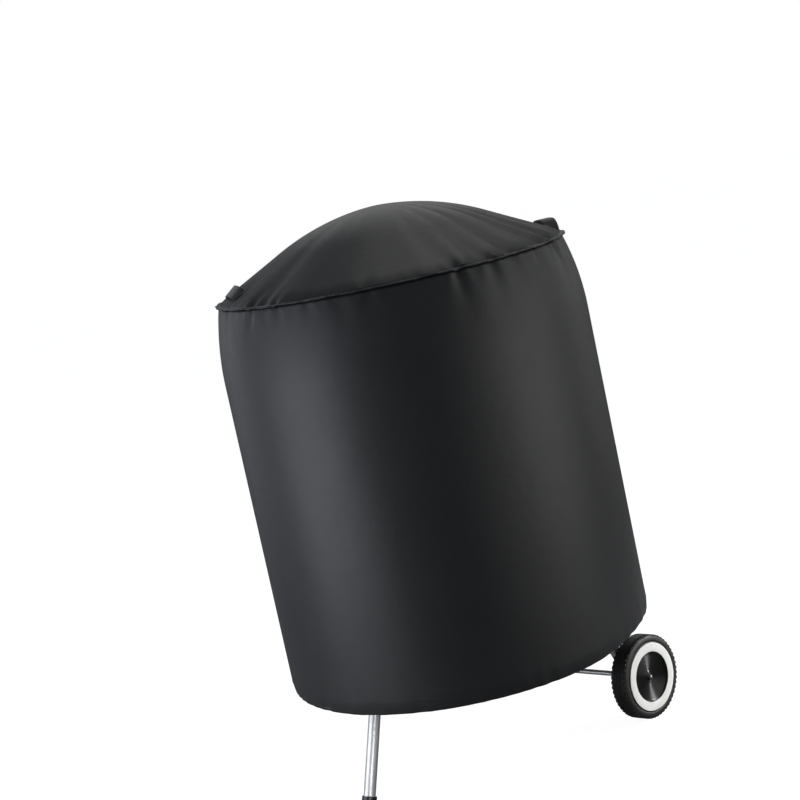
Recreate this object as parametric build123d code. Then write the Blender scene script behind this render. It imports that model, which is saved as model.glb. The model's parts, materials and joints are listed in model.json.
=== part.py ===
"""A round grill cover over the kettle grill that it fits, as separate pieces.

Frame: +Z up, origin on the floor under the kettle's axis. The axle lies along X, the wheels
stand on the +Y side and the plain front leg reaches out along -Y. All sizes are millimetres.
"""
from build123d import *
from math import acos, atan2, cos, degrees, pi, radians, sin, sqrt
import os

# ------------------------------------------------------------------ driving dimensions
# kettle
kettle_diameter = 572.0     # across the bowl's rolled rim
rim_height = 735.0          # top of the bowl's rim above the floor
bowl_depth = 240.0
lid_rise = 199.0            # lid crown above the lid's ledge
steel = 1.0                 # enamelled sheet of bowl and lid
bead_radius = 3.5           # rolled rim of the bowl
lid_skirt = 9.0             # how far the lid's lip hangs over the rim

# legs, axle and wheels
leg_diameter = 21.0
leg_wall = 1.4
socket_reach = 118.0        # plan radius where each leg meets the bowl
foot_reach = 326.0          # plan radius of the front foot on the floor
socket_depth = 38.0         # how far a leg goes into its socket
axle_diameter = 9.5
axle_offset = 200.0         # axle behind the kettle's axis
half_track = 237.0          # kettle's axis to a wheel's outer face
wheel_diameter = 152.4
wheel_width = 36.0
lug_count = 52              # notches round each shoulder of a tyre

# cover
cloth = 1.0                 # coated polyester
handle_reach = 30.0         # how far the bowl handles stand out from the rim
side_ease = 12.0            # slack between bowl handles and skirt
top_ease = 11.0             # slack between lid handle and top panel
hem_height = 193.0          # bottom edge of the skirt above the floor
seam_above_rim = 162.0      # top seam above the kettle's rim
shoulder_in = 21.0          # how far the skirt draws in towards the top seam
shoulder_drop = 137.0       # height over which it draws in
webbing_width = 25.0        # strap of the grab handles
webbing = 1.6

# fits
fit_gap = 0.05              # radial gap where one piece is pressed or pushed onto another
running_gap = 0.08          # radial gap of a turning fit
free_gap = 0.3              # gap between pieces that only lie or slide past each other

# ------------------------------------------------------------------ worked-out sizes
kettle_radius = kettle_diameter / 2
leg_radius = leg_diameter / 2
axle_radius = axle_diameter / 2
wheel_radius = wheel_diameter / 2

bead_circle = kettle_radius - bead_radius
bead_height = rim_height - bead_radius
shell_depth = bowl_depth - bead_radius
bowl_sphere = (bead_circle**2 + shell_depth**2) / (2 * shell_depth)
bowl_centre = bead_height - shell_depth + bowl_sphere
bowl_bottom = bowl_centre - bowl_sphere

ledge_height = rim_height + free_gap + steel
lid_circle = bead_circle + 0.5
lid_sphere = (lid_circle**2 + lid_rise**2) / (2 * lid_rise)
lid_crown = ledge_height + lid_rise
lid_centre = lid_crown - lid_sphere
lid_lip_radius = kettle_radius + 2 + steel

lid_bar_gap = 32.0          # finger room under the lid handle
lid_bar_length = 120.0
lid_bar_width = 30.0
lid_bar_height = 32.0
lid_bar_bottom = lid_crown + lid_bar_gap
lid_bar_top = lid_bar_bottom + lid_bar_height
lid_post_spacing = 80.0
lid_post_radius = 6.0

cover_radius = kettle_radius + handle_reach + side_ease + cloth
seam_height = rim_height + seam_above_rim
seam_radius = cover_radius - shoulder_in
cover_apex = lid_bar_top + top_ease + cloth
seam_layers = 3.0           # the folded edges of top panel and skirt, sewn together
seam_flange = 7.0           # how far they stand out
hem_band_height = 24.0
hem_band_width = 4.5
hem_draw = 3.0              # the elastic draws the hem in
elastic_radius = 1.4
hem_top = hem_height + hem_band_height

crown_radius = 390.0        # cloth stretched over the lid handle
edge_radius = 60.0          # cloth turning down at the top panel's edge
edge_slope = radians(65)    # how steep it is at the seam

OUT = "parts"


# ------------------------------------------------------------------ helpers
def ball_shell(outer, wall, centre):
    """A hollow ball about a point on the kettle's axis."""
    at = Pos(0, 0, centre)
    return at * Sphere(outer) - at * Sphere(outer - wall)


def drum(radius, low, high):
    """A plain cylinder about the kettle's axis from one height to another."""
    return Pos(0, 0, (low + high) / 2) * Cylinder(radius, high - low)


def ring(outer, inner, low, high):
    return drum(outer, low, high) - drum(inner, low, high)


def bar(start, end, radius):
    """A round bar between two points."""
    start, end = Vector(*start), Vector(*end)
    along = end - start
    place = Plane(origin=start, z_dir=along)
    return place * Cylinder(radius, along.length, align=(Align.CENTER, Align.CENTER, Align.MIN))


def torus_wire(circle, wire, height):
    return Pos(0, 0, height) * Torus(circle, wire)


def turned(profile):
    """A closed outline of (radius, height) points, turned about the kettle's axis."""
    outline = make_face(Plane.XZ * Polyline(*profile, close=True))
    return revolve(outline, Axis.Z)


def both_sides(piece):
    """The piece and its mirror image across the plane through the kettle's axis."""
    return piece, mirror(piece, about=Plane.YZ)


# ------------------------------------------------------------------ kettle bowl and lid
vent_circle = 60.0          # ash slots in the bowl's bottom
vent_width = 22.0
vent_sweep = 36.0           # degrees of each slot
shaft_radius = 4.0          # sweeper's shaft through the bowl


def ash_slots(width, sweep, turn):
    """Three curved slots about the kettle's axis, as a tall cutter through the bowl's bottom."""
    cutter = Part()
    for third in range(3):
        middle = turn + 120 * third
        path = CenterArc((0, 0), vent_circle, middle - sweep / 2, sweep)
        slot = SlotArc(path, width)
        cutter += Pos(0, 0, bowl_bottom - 10) * extrude(slot, 60)
    return cutter


def make_bowl():
    shell = ball_shell(bowl_sphere, steel, bowl_centre)
    shell &= drum(kettle_radius + 10, bowl_bottom - 10, bead_height)
    bowl = shell + torus_wire(bead_circle, bead_radius, bead_height)
    bowl -= ash_slots(vent_width, vent_sweep, 30)
    bowl -= drum(shaft_radius + running_gap, bowl_bottom - 10, bowl_bottom + 20)
    return bowl


def vent_frame():
    """The lid vent's plane: on the dome, tipped towards the front."""
    tilt = radians(27)
    outward = Vector(0, -sin(tilt), cos(tilt))
    return Plane(origin=Vector(0, 0, lid_centre) + outward * lid_sphere, z_dir=outward)


vent_hole_radius = 7.0
vent_hole_circle = 18.0
damper_radius = 34.0
damper_steel = 1.2
rivet_radius = 3.0


def vent_holes():
    """Four round holes about the vent's axis, as a cutter."""
    hole = Cylinder(vent_hole_radius, 40)
    return vent_frame() * (Part() + [place * hole for place in PolarLocations(vent_hole_circle, 4)])


def make_lid_shell():
    dome = ball_shell(lid_sphere, steel, lid_centre)
    dome &= drum(kettle_radius + 10, ledge_height - steel, lid_crown + 10)
    ledge = ring(lid_lip_radius, lid_circle - 3, ledge_height - steel, ledge_height)
    lip = ring(lid_lip_radius, lid_lip_radius - steel, rim_height - lid_skirt, ledge_height)
    lid = dome + ledge + lip
    lid -= vent_holes()
    lid -= vent_frame() * Cylinder(rivet_radius + fit_gap, 40)
    return lid


def make_lid_damper():
    inside = lid_sphere + free_gap
    disc = ball_shell(inside + damper_steel, damper_steel, lid_centre)
    disc &= vent_frame() * Cylinder(damper_radius, 60)
    tab = vent_frame() * Pos(0, damper_radius - 5, 4) * Box(14, damper_steel, 16)
    tab -= Pos(0, 0, lid_centre) * Sphere(inside)
    damper = disc + tab
    damper -= vent_holes()
    damper -= vent_frame() * Cylinder(rivet_radius + running_gap, 60)
    return damper


def make_lid_rivet():
    """Pin through lid and damper, with a head above and below."""
    outer = lid_sphere + free_gap + damper_steel + free_gap
    shank = vent_frame() * Cylinder(rivet_radius, 14)
    heads = vent_frame() * Cylinder(rivet_radius + 3, 9)
    heads -= ball_shell(outer, outer - (lid_sphere - steel), lid_centre)
    return heads + shank


def lid_post_places():
    return [Pos(side * lid_post_spacing / 2, 0, 0) for side in (-1, 1)]


def make_lid_posts():
    post = drum(lid_post_radius, lid_crown - 20, lid_bar_bottom)
    posts = Compound([place * post for place in lid_post_places()])
    return posts - Pos(0, 0, lid_centre) * Sphere(lid_sphere)


def make_lid_shield():
    """Steel plate under the grip, threaded over the posts."""
    height = lid_bar_bottom - steel / 2
    plate = Pos(0, 0, height) * extrude(RectangleRounded(lid_bar_length + 14, 58, 20), steel / 2, both=True)
    for place in lid_post_places():
        plate -= place * drum(lid_post_radius + fit_gap, height - 5, height + 5)
    return plate


def make_lid_handle():
    grip = Pos(0, 0, lid_bar_bottom) * Box(
        lid_bar_length, lid_bar_width, lid_bar_height, align=(Align.CENTER, Align.CENTER, Align.MIN)
    )
    grip = fillet(grip.edges().filter_by(Axis.Z), 12)
    return fillet(grip.edges().group_by(Axis.Z)[-1], 10)


bowl_bar_length = 110.0
bowl_bar_width = 17.0
bowl_bar_height = 22.0
bowl_bar_below_rim = 32.0
bowl_post_spacing = 74.0
bowl_post_radius = 5.0


def make_bowl_handle():
    """The grip on the +X side, curved round the bowl."""
    outer = kettle_radius + handle_reach
    middle = Pos(outer - bowl_bar_width / 2, rim_height - bowl_bar_below_rim)
    section = Plane.XZ * middle * RectangleRounded(bowl_bar_width, bowl_bar_height, 6)
    sweep = degrees(bowl_bar_length / outer)
    return Rot(0, 0, -sweep / 2) * revolve(section, Axis.Z, sweep)


def make_bowl_handle_posts():
    height = rim_height - bowl_bar_below_rim
    grip_middle = kettle_radius + handle_reach - bowl_bar_width / 2
    posts = Part()
    for side in (-1, 1):
        y = side * bowl_post_spacing / 2
        posts += bar((bead_circle - 60, y, height), (grip_middle, y, height), bowl_post_radius)
    return outside_bowl(posts) - make_bowl_handle()


# ------------------------------------------------------------------ legs, axle, foot
def bowl_surface(radius):
    """Height of the bowl's outside at a plan radius."""
    return bowl_centre - sqrt(bowl_sphere**2 - radius**2)


leg_top = bowl_surface(socket_reach)
wheel_inner_face = half_track - wheel_width
washer = 2.0
rear_leg_spread = wheel_inner_face - washer - leg_radius - 3
front_line = (Vector(0, -foot_reach, 0), Vector(0, -socket_reach, leg_top))
rear_line = (
    Vector(rear_leg_spread, axle_offset, wheel_radius),
    Vector(socket_reach * cos(radians(30)), socket_reach * sin(radians(30)), leg_top),
)
rear_left_line = tuple(Vector(-p.X, p.Y, p.Z) for p in rear_line)
leg_lines = (front_line, rear_line, rear_left_line)

foot_height = 33.0          # plastic cap on the front leg
foot_base = 10.0            # solid part of it under the leg's end
plug_lip = 3.0              # plastic plug in a rear leg's end
below_axle = 14.0           # how far a rear leg goes past the axle


def leg_at(line, height):
    """The point of a leg's axis at a height."""
    low, high = line
    share = (height - low.Z) / (high.Z - low.Z)
    return low + (high - low) * share


def along_leg(line, radius, start, end):
    """A cylinder on a leg's axis, by distance from its lower point."""
    low, high = line
    direction = (high - low).normalized()
    return bar(low + direction * start, low + direction * end, radius)


def outside_bowl(piece):
    return piece - Pos(0, 0, bowl_centre) * Sphere(bowl_sphere)


def leg_tube(line, start):
    length = (line[1] - line[0]).length
    tube = along_leg(line, leg_radius, start, length - leg_radius / 2)
    return tube - along_leg(line, leg_radius - leg_wall, start - 1, length)


leg_slope = (front_line[1] - front_line[0]).length / leg_top


def make_front_leg():
    return leg_tube(front_line, foot_base * leg_slope)


def axle_cutter(reach, radius):
    """A round bar on the axle's line, out to the same distance each side."""
    return bar((-reach, axle_offset, wheel_radius), (reach, axle_offset, wheel_radius), radius)


def make_rear_leg():
    return leg_tube(rear_line, -below_axle) - axle_cutter(half_track, axle_radius + fit_gap)


def make_leg_socket(line):
    """Sleeve welded under the bowl."""
    length = (line[1] - line[0]).length
    sleeve = along_leg(line, leg_radius + 3, length - socket_depth, length + 30)
    sleeve -= along_leg(line, leg_radius + fit_gap, length - socket_depth - 1, length - leg_radius / 2)
    return outside_bowl(sleeve)


def make_front_foot():
    """Plastic cap, cut flat where it stands on the floor."""
    shell = along_leg(front_line, leg_radius + 2.5, -20, foot_height * leg_slope)
    pocket = along_leg(front_line, leg_radius + fit_gap, foot_base * leg_slope, foot_height * leg_slope + 1)
    return shell - pocket - Pos(0, -foot_reach, -50) * Box(200, 200, 100)


def make_rear_plug():
    lip = along_leg(rear_line, leg_radius, -below_axle - plug_lip, -below_axle)
    stem = along_leg(rear_line, leg_radius - leg_wall - fit_gap, -below_axle, -below_axle + 6)
    return lip + stem


axle_tip_radius = 3.1
axle_shoulder = half_track - 7.0    # where the turned-down tip starts
nut_steel = 1.4


def make_axle():
    """Rod with a turned-down tip at each end."""
    rod = axle_cutter(axle_shoulder, axle_radius)
    tip = axle_cutter(half_track - 2, axle_tip_radius)
    return rod + tip


def make_push_nut():
    """Spring nut on the axle's right tip, just outside the wheel's bore."""
    nut = Cylinder(7.4, nut_steel, align=(Align.CENTER, Align.CENTER, Align.MIN))
    return on_axle(nut, axle_shoulder) - axle_cutter(half_track, axle_tip_radius + fit_gap)


def on_axle(piece, x):
    """Stands a piece made along Z on the axle at x, pointing along +X."""
    return Plane(origin=(x, axle_offset, wheel_radius), z_dir=(1, 0, 0), x_dir=(0, 0, -1)) * piece


def make_washer():
    disc = Cylinder(leg_radius - 1, washer - free_gap, align=(Align.CENTER, Align.CENTER, Align.MIN))
    disc -= Cylinder(axle_radius + fit_gap, 10)
    return on_axle(disc, wheel_inner_face - washer)


# ------------------------------------------------------------------ wheels
whitewall_outer = 61.5
whitewall_inner = 45.5
whitewall_proud = 1.2
hub_radius = 48.0
hub_boss_radius = 12.0
sidewall_face = wheel_width - whitewall_proud


def make_tyre():
    """Moulded tyre of the right wheel, with ribs round the tread and notched shoulders."""
    half = sidewall_face / 2
    body = Cylinder(wheel_radius, sidewall_face, align=(Align.CENTER, Align.CENTER, Align.MIN))
    body = fillet(body.edges(), 5)
    body -= Cylinder(hub_radius + fit_gap, 100)
    groove = Cylinder(wheel_radius + 5, 2) - Cylinder(wheel_radius - 1.6, 2)
    grooves = [Pos(0, 0, half + across) * groove for across in (-6, 0, 6)]
    notch = Box(6, 3.4, 7)
    places = PolarLocations(wheel_radius, lug_count)
    notches = [Pos(0, 0, face) * place * notch for face in (2.5, sidewall_face - 2.5) for place in places]
    return on_axle(body - (grooves + notches), wheel_inner_face)


def make_whitewall():
    band = Cylinder(whitewall_outer, whitewall_proud, align=(Align.CENTER, Align.CENTER, Align.MIN))
    band -= Cylinder(whitewall_inner, 10)
    band = fillet(band.edges().group_by(Axis.Z)[-1], 0.5)
    return on_axle(band, wheel_inner_face + sidewall_face)


def make_hub():
    """Dished centre of the right wheel, turned about the axle."""
    face = sidewall_face
    dish = face - 10
    wall = 3.5
    bore = axle_radius + running_gap
    seat = axle_shoulder - wheel_inner_face - free_gap
    outline = [
        (bore, 0), (hub_boss_radius, 0), (hub_boss_radius, dish - wall), (hub_radius - wall, face - 8 - wall),
        (hub_radius - wall, 6), (hub_radius, 6), (hub_radius, face), (whitewall_inner - 1, face),
        (hub_boss_radius, dish), (hub_boss_radius, face - 1), (hub_boss_radius - 3.5, face - 1),
        (hub_boss_radius - 3.5, seat), (bore, seat),
    ]
    return on_axle(revolve(make_face(Plane.XZ * Polyline(*outline, close=True)), Axis.Z), wheel_inner_face)


# ------------------------------------------------------------------ fire side: grates, sweeper, ash pan
cooking_grate_drop = 35.0   # below the rim
coal_grate_drop = 150.0
grate_ring = 3.0            # wire radius of a grate's ring
grate_rod = 2.4


def inside_bowl(height):
    """Inner radius of the bowl at a height."""
    return sqrt((bowl_sphere - steel) ** 2 - (bowl_centre - height) ** 2)


def make_grate(drop, pitch):
    """Ring with parallel rods laid across it and two stiffeners under them."""
    height = rim_height - drop
    circle = inside_bowl(height) - grate_ring - 8
    count = int(circle // pitch)
    top = height + grate_ring
    rods = []
    for step in range(-count, count + 1):
        y = step * pitch
        half = sqrt(circle**2 - y**2)
        rods.append(bar((-half, y, top), (half, y, top), grate_rod))
    for x in (-circle / 3, circle / 3):
        half = sqrt(circle**2 - x**2)
        rods.append(bar((x, -half, height), (x, half, height), grate_rod))
    return torus_wire(circle, grate_ring, height) + rods


def make_grate_pins():
    """Four short pins in the bowl's wall under each grate."""
    pins = []
    for drop in (cooking_grate_drop, coal_grate_drop):
        height = rim_height - drop - grate_ring - 3
        wall = inside_bowl(height)
        for place in PolarLocations(0, 4, start_angle=45):
            pins.append(place * bar((wall - 18, 0, height), (wall + 3, 0, height), 3 - free_gap))
    inside = Pos(0, 0, bowl_centre) * Sphere(bowl_sphere - steel)
    return Compound([pin & inside for pin in pins])


blade_steel = 1.2
lever_drop = 16.0           # lever below the bowl
lever_reach = 172.0
lever_angle = radians(300)


def make_sweeper_blades():
    """Three blades on one hub that wipe the inside of the bowl's bottom."""
    outer = bowl_sphere - steel - 0.4
    skin = ball_shell(outer, blade_steel, bowl_centre)
    hub = drum(vent_circle - vent_width / 2 - 1, bowl_bottom - 10, bowl_bottom + 40)
    blades = skin & (ash_slots(vent_width + 8, vent_sweep + 8, 90) + hub)
    return blades - drum(shaft_radius + fit_gap, bowl_bottom - 10, bowl_bottom + 40)


def make_sweeper_lever():
    low = bowl_bottom - lever_drop
    shaft = drum(shaft_radius, low - 4, bowl_bottom + 12)
    collar = drum(shaft_radius + 5, low - 4, low + 4)
    tip = (lever_reach * cos(lever_angle), lever_reach * sin(lever_angle), low)
    return shaft + collar + bar((0, 0, low), tip, 3)


def make_sweeper_nut():
    low = bowl_bottom + steel + 0.4 + blade_steel + 0.6
    nut = Pos(0, 0, low) * extrude(RegularPolygon(7, 6), 5)
    return nut - drum(shaft_radius + fit_gap, low - 1, low + 10)


def make_sweeper_grip():
    low = bowl_bottom - lever_drop
    start, end = lever_reach - 12, lever_reach + 34
    direction = Vector(cos(lever_angle), sin(lever_angle), 0)
    grip = bar(direction * start + Vector(0, 0, low), direction * end + Vector(0, 0, low), 8)
    grip = fillet(grip.edges(), 3)
    tip = direction * lever_reach + Vector(0, 0, low)
    return grip - bar(direction * (start - 5) + Vector(0, 0, low), tip, 3 + fit_gap)


pan_below_bowl = 58.0       # pan's lip under the bowl's bottom
pan_depth = 40.0
pan_sheet = 1.0
pan_lip = bowl_bottom - pan_below_bowl


def leg_distance(line, height):
    """Plan distance from the kettle's axis to a leg's axis at a height."""
    at = leg_at(line, height)
    return Vector(at.X, at.Y, 0).length


pan_radius = min(leg_distance(line, pan_lip) for line in leg_lines) - leg_radius - 5


def make_ash_pan():
    floor_radius = pan_radius - 45
    low = pan_lip - pan_depth
    return turned([
        (0, low), (floor_radius, low), (pan_radius - 8, pan_lip - pan_sheet), (pan_radius, pan_lip - pan_sheet),
        (pan_radius, pan_lip), (pan_radius - 9, pan_lip), (floor_radius - 1, low + pan_sheet), (0, low + pan_sheet),
    ])


def make_pan_clips():
    """A bar from each leg under the pan's lip."""
    clips = []
    for line in leg_lines:
        height = pan_lip - pan_sheet - 3
        at = leg_at(line, height)
        outward = Vector(at.X, at.Y, 0).normalized()
        inner = outward * (pan_radius - 5) + Vector(0, 0, height)
        place = Plane(origin=inner, x_dir=outward, z_dir=(0, 0, 1))
        reach = leg_distance(line, height) - pan_radius + 5
        clip = place * Box(reach, 14, 6, align=(Align.MIN, Align.CENTER, Align.CENTER))
        clips.append(clip - along_leg(line, leg_radius + fit_gap, 0, 700))
    return Compound(clips)


rack_height = 215.0
rack_wire = 2.5
rack_pitch = 28.0


def make_wire_rack():
    """Triangle of wire with cross wires, clipped round the three legs."""
    corners = [leg_at(line, rack_height) for line in leg_lines]
    front, right, left = corners
    rack = bar(tuple(front), tuple(right), rack_wire)
    rack += bar(tuple(right), tuple(left), rack_wire)
    rack += bar(tuple(left), tuple(front), rack_wire)
    depth = right.Y - front.Y
    for step in range(1, int(depth // rack_pitch)):
        share = step * rack_pitch / depth
        x = right.X * share
        y = front.Y + depth * share
        rack += bar((-x, y, rack_height), (x, y, rack_height), rack_wire - 0.6)
    for line in leg_lines:
        middle = (leg_at(line, rack_height) - line[0]).length
        rack += along_leg(line, leg_radius + 3.5, middle - 8, middle + 8)
    for line in leg_lines:
        middle = (leg_at(line, rack_height) - line[0]).length
        rack -= along_leg(line, leg_radius + fit_gap, middle - 40, middle + 40)
    return rack


# ------------------------------------------------------------------ the cover
def dome_outline(inset):
    """The top panel's outline, moved in by a thickness: crown arc, straight flank, edge arc."""
    crown = Vector(0, cover_apex - crown_radius)
    edge = Vector(seam_radius - edge_radius * sin(edge_slope), seam_height - edge_radius * cos(edge_slope))
    between = edge - crown
    lean = atan2(between.Y, between.X) + acos((crown_radius - edge_radius) / between.length)
    normal = Vector(cos(lean), sin(lean))
    crown_arc = crown_radius - inset
    edge_arc = edge_radius - inset
    half_lean = (lean + pi / 2) / 2
    half_edge = (lean + pi / 2 - edge_slope) / 2
    top = crown + Vector(0, crown_arc)
    flank_start = crown + normal * crown_arc
    flank_end = edge + normal * edge_arc
    low = edge + Vector(sin(edge_slope), cos(edge_slope)) * edge_arc
    return [
        ThreePointArc(top, crown + Vector(cos(half_lean), sin(half_lean)) * crown_arc, flank_start),
        Line(flank_start, flank_end),
        ThreePointArc(flank_end, edge + Vector(cos(half_edge), sin(half_edge)) * edge_arc, low),
    ]


def turned_wall(outer, inner):
    """A wall between two open outlines, turned about the kettle's axis."""
    edges = outer + inner + [Line(outer[0] @ 0, inner[0] @ 0), Line(outer[-1] @ 1, inner[-1] @ 1)]
    return revolve(make_face(Plane.XZ * Curve(edges)), Axis.Z)


def dome_solid(inset):
    """Everything under the top panel's outline, down to well below the seam."""
    outline = dome_outline(inset)
    low = outline[-1] @ 1
    closing = Polyline(low, (low.X, seam_height - 60), (0, seam_height - 60), outline[0] @ 0)
    return revolve(make_face(Plane.XZ * Curve(outline + [closing])), Axis.Z)


def make_top_panel():
    panel = turned_wall(dome_outline(0), dome_outline(cloth))
    return panel & drum(cover_radius + 50, seam_height + seam_layers / 2, cover_apex + 50)


def make_skirt():
    """The side panel: straight up from the hem, then drawn in to the top seam."""
    turn = (shoulder_drop**2 + shoulder_in**2) / (2 * shoulder_in)
    centre = Vector(cover_radius - turn, seam_height - shoulder_drop)
    top_angle = atan2(shoulder_drop, turn - shoulder_in)

    def outline(inset):
        arc = turn - inset
        low = (cover_radius - inset, hem_top)
        bend = (cover_radius - inset, centre.Y)
        middle = centre + Vector(cos(top_angle / 2), sin(top_angle / 2)) * arc
        return [Line(low, bend), ThreePointArc(bend, middle, centre + Vector(cos(top_angle), sin(top_angle)) * arc)]

    wall = turned_wall(outline(0), outline(cloth))
    return wall & drum(cover_radius + 50, hem_top - 1, seam_height - seam_layers / 2)


def make_seam_binding():
    half = seam_layers / 2
    outer, inner, round_off = seam_radius + seam_flange, seam_radius - 3, 1.2
    low, high = seam_height - half, seam_height + half
    return turned([
        (inner, low), (outer - round_off, low), (outer, low + round_off),
        (outer, high - round_off), (outer - round_off, high), (inner, high),
    ])


def hem_section():
    """Corners of the folded hem, leaning in to its lower edge."""
    low = cover_radius - hem_draw
    return [(cover_radius, hem_top), (low, hem_height), (low - hem_band_width, hem_height),
            (cover_radius - hem_band_width, hem_top)]


elastic_circle = cover_radius - hem_draw * 0.7 - hem_band_width / 2
elastic_height = hem_height + 7.0


def make_hem_band():
    band = turned(hem_section())
    band = fillet(band.edges().group_by(Axis.Z)[0], 2)
    return band - torus_wire(elastic_circle, elastic_radius + fit_gap, elastic_height)


def make_hem_elastic():
    return torus_wire(elastic_circle, elastic_radius, elastic_height)


def make_seam_tape():
    """Tape over the skirt's one upright seam, on its inside at the back."""
    low, high = hem_top + 4, seam_height - shoulder_drop
    inner = cover_radius - cloth
    tape = ring(inner, inner - 1.2, low, high)
    return tape & Pos(0, inner, (low + high) / 2) * Box(24, 40, high - low)


handle_span = 70.0          # between the sewn ends
handle_angle = 61.0         # where the rear handle sits, degrees round from +X
handle_inset = 6.0          # middle of the strap in from the seam
handle_lean = 11.0          # how far an end leans in over the strap's rise


def make_grab_handle(angle, rise, tilt, inset):
    """Webbing arch sewn on beside the top seam, upright or tilted outwards to lie along the slope."""
    half = handle_span / 2
    radius = sqrt((seam_radius - inset) ** 2 - half**2)
    edge_centre = Vector(seam_radius - edge_radius * sin(edge_slope), seam_height - edge_radius * cos(edge_slope))
    height = edge_centre.Y + sqrt(edge_radius**2 - (radius - edge_centre.X) ** 2)
    outward = Vector(cos(radians(angle)), sin(radians(angle)), 0)
    sideways = Vector(-outward.Y, outward.X, 0)
    normal = outward * sin(radians(tilt)) + Vector(0, 0, cos(radians(tilt)))
    frame = Plane(origin=outward * radius + Vector(0, 0, height), x_dir=sideways, z_dir=normal)
    root = -18
    under = [(-half, root), (-half + handle_lean, rise - webbing), (half - handle_lean, rise - webbing), (half, root)]
    over = [
        (half + webbing, root), (half - handle_lean + 1, rise),
        (-half + handle_lean - 1, rise), (-half - webbing, root),
    ]
    side = make_face(Plane.XZ * Polyline(*under, *over, close=True))
    strap = frame * extrude(side, webbing_width / 2, both=True)
    return strap - dome_solid(0) - drum(cover_radius, seam_height - 60, seam_height + seam_layers / 2)


# ------------------------------------------------------------------ every node
def make_nodes():
    right_handle, left_handle = both_sides(make_bowl_handle())
    right_leg, left_leg = both_sides(make_rear_leg())
    right_tyre, left_tyre = both_sides(make_tyre())
    right_whitewall, left_whitewall = both_sides(make_whitewall())
    right_hub, left_hub = both_sides(make_hub())
    return {
        "top_panel": make_top_panel(),
        "side_panel": make_skirt(),
        "top_seam_binding": make_seam_binding(),
        "side_seam_tape": make_seam_tape(),
        "hem_band": make_hem_band(),
        "hem_elastic": make_hem_elastic(),
        "grab_handle_rear": make_grab_handle(handle_angle, 16.0, 0.0, handle_inset),
        "grab_handle_front": make_grab_handle(handle_angle + 180, 8.0, 38.0, handle_inset + 18),
        "lid_shell": make_lid_shell(),
        "lid_handle": make_lid_handle(),
        "lid_handle_posts": make_lid_posts(),
        "lid_heat_shield": make_lid_shield(),
        "lid_vent_rivet": make_lid_rivet(),
        "lid_damper": make_lid_damper(),
        "bowl": make_bowl(),
        "bowl_handle_right": right_handle,
        "bowl_handle_left": left_handle,
        "bowl_handle_posts": Compound(list(both_sides(make_bowl_handle_posts()))),
        "leg_sockets": Compound([make_leg_socket(line) for line in leg_lines]),
        "front_leg": make_front_leg(),
        "rear_leg_right": right_leg,
        "rear_leg_left": left_leg,
        "front_foot": make_front_foot(),
        "rear_leg_plugs": Compound(list(both_sides(make_rear_plug()))),
        "axle": make_axle(),
        "push_nuts": Compound(list(both_sides(make_push_nut()))),
        "axle_washers": Compound(list(both_sides(make_washer()))),
        "wire_rack": make_wire_rack(),
        "ash_pan": make_ash_pan(),
        "ash_pan_clips": make_pan_clips(),
        "coal_grate": make_grate(coal_grate_drop, 30.0),
        "cooking_grate": make_grate(cooking_grate_drop, 20.0),
        "grate_pins": make_grate_pins(),
        "sweeper_blades": make_sweeper_blades(),
        "sweeper_lever": make_sweeper_lever(),
        "sweeper_nut": make_sweeper_nut(),
        "sweeper_grip": make_sweeper_grip(),
        "tyre_right": right_tyre,
        "tyre_left": left_tyre,
        "whitewall_right": right_whitewall,
        "whitewall_left": left_whitewall,
        "hub_right": right_hub,
        "hub_left": left_hub,
    }


def main():
    os.makedirs(OUT, exist_ok=True)
    for name, shape in make_nodes().items():
        export_step(shape, f"{OUT}/{name}.step")


main()
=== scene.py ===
# %% [markdown]
# # A grill cover over its kettle grill
# The object is a round cloth cover pulled over a kettle grill that stands on one leg and two
# wheels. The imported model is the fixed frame: it says where each piece is and how it moves.
# This lesson gives every piece the look of the real one. It starts with camera and light, then
# makes the finishes, then the cloth, the wheels, and last the stand and the kettle.

# %% Load the frame
import json
from math import acos, atan2, cos, pi, radians, sin, sqrt, tau

import bmesh
import bpy
import numpy as np
from mathutils import Matrix, Vector

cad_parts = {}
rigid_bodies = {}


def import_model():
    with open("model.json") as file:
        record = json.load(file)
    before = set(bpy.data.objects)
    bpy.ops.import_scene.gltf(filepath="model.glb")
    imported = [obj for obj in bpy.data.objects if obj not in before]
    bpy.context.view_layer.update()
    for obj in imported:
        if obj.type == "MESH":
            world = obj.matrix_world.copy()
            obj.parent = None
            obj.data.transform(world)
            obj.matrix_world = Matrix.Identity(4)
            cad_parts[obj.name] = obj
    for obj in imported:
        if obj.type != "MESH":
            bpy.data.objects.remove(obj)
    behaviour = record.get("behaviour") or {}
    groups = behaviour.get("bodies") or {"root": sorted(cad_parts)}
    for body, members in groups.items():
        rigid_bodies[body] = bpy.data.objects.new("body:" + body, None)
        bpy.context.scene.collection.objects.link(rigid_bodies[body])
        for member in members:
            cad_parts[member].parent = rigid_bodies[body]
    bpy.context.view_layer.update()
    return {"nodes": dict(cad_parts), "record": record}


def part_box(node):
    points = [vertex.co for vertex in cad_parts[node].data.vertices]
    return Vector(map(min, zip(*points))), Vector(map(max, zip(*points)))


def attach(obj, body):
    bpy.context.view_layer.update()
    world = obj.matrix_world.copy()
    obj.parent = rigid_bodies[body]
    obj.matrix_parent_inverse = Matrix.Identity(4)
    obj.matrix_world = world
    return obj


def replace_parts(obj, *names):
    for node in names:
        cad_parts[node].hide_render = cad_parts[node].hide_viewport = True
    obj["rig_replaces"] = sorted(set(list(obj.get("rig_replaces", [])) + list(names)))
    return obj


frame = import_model()
millimetre = 0.001

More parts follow.
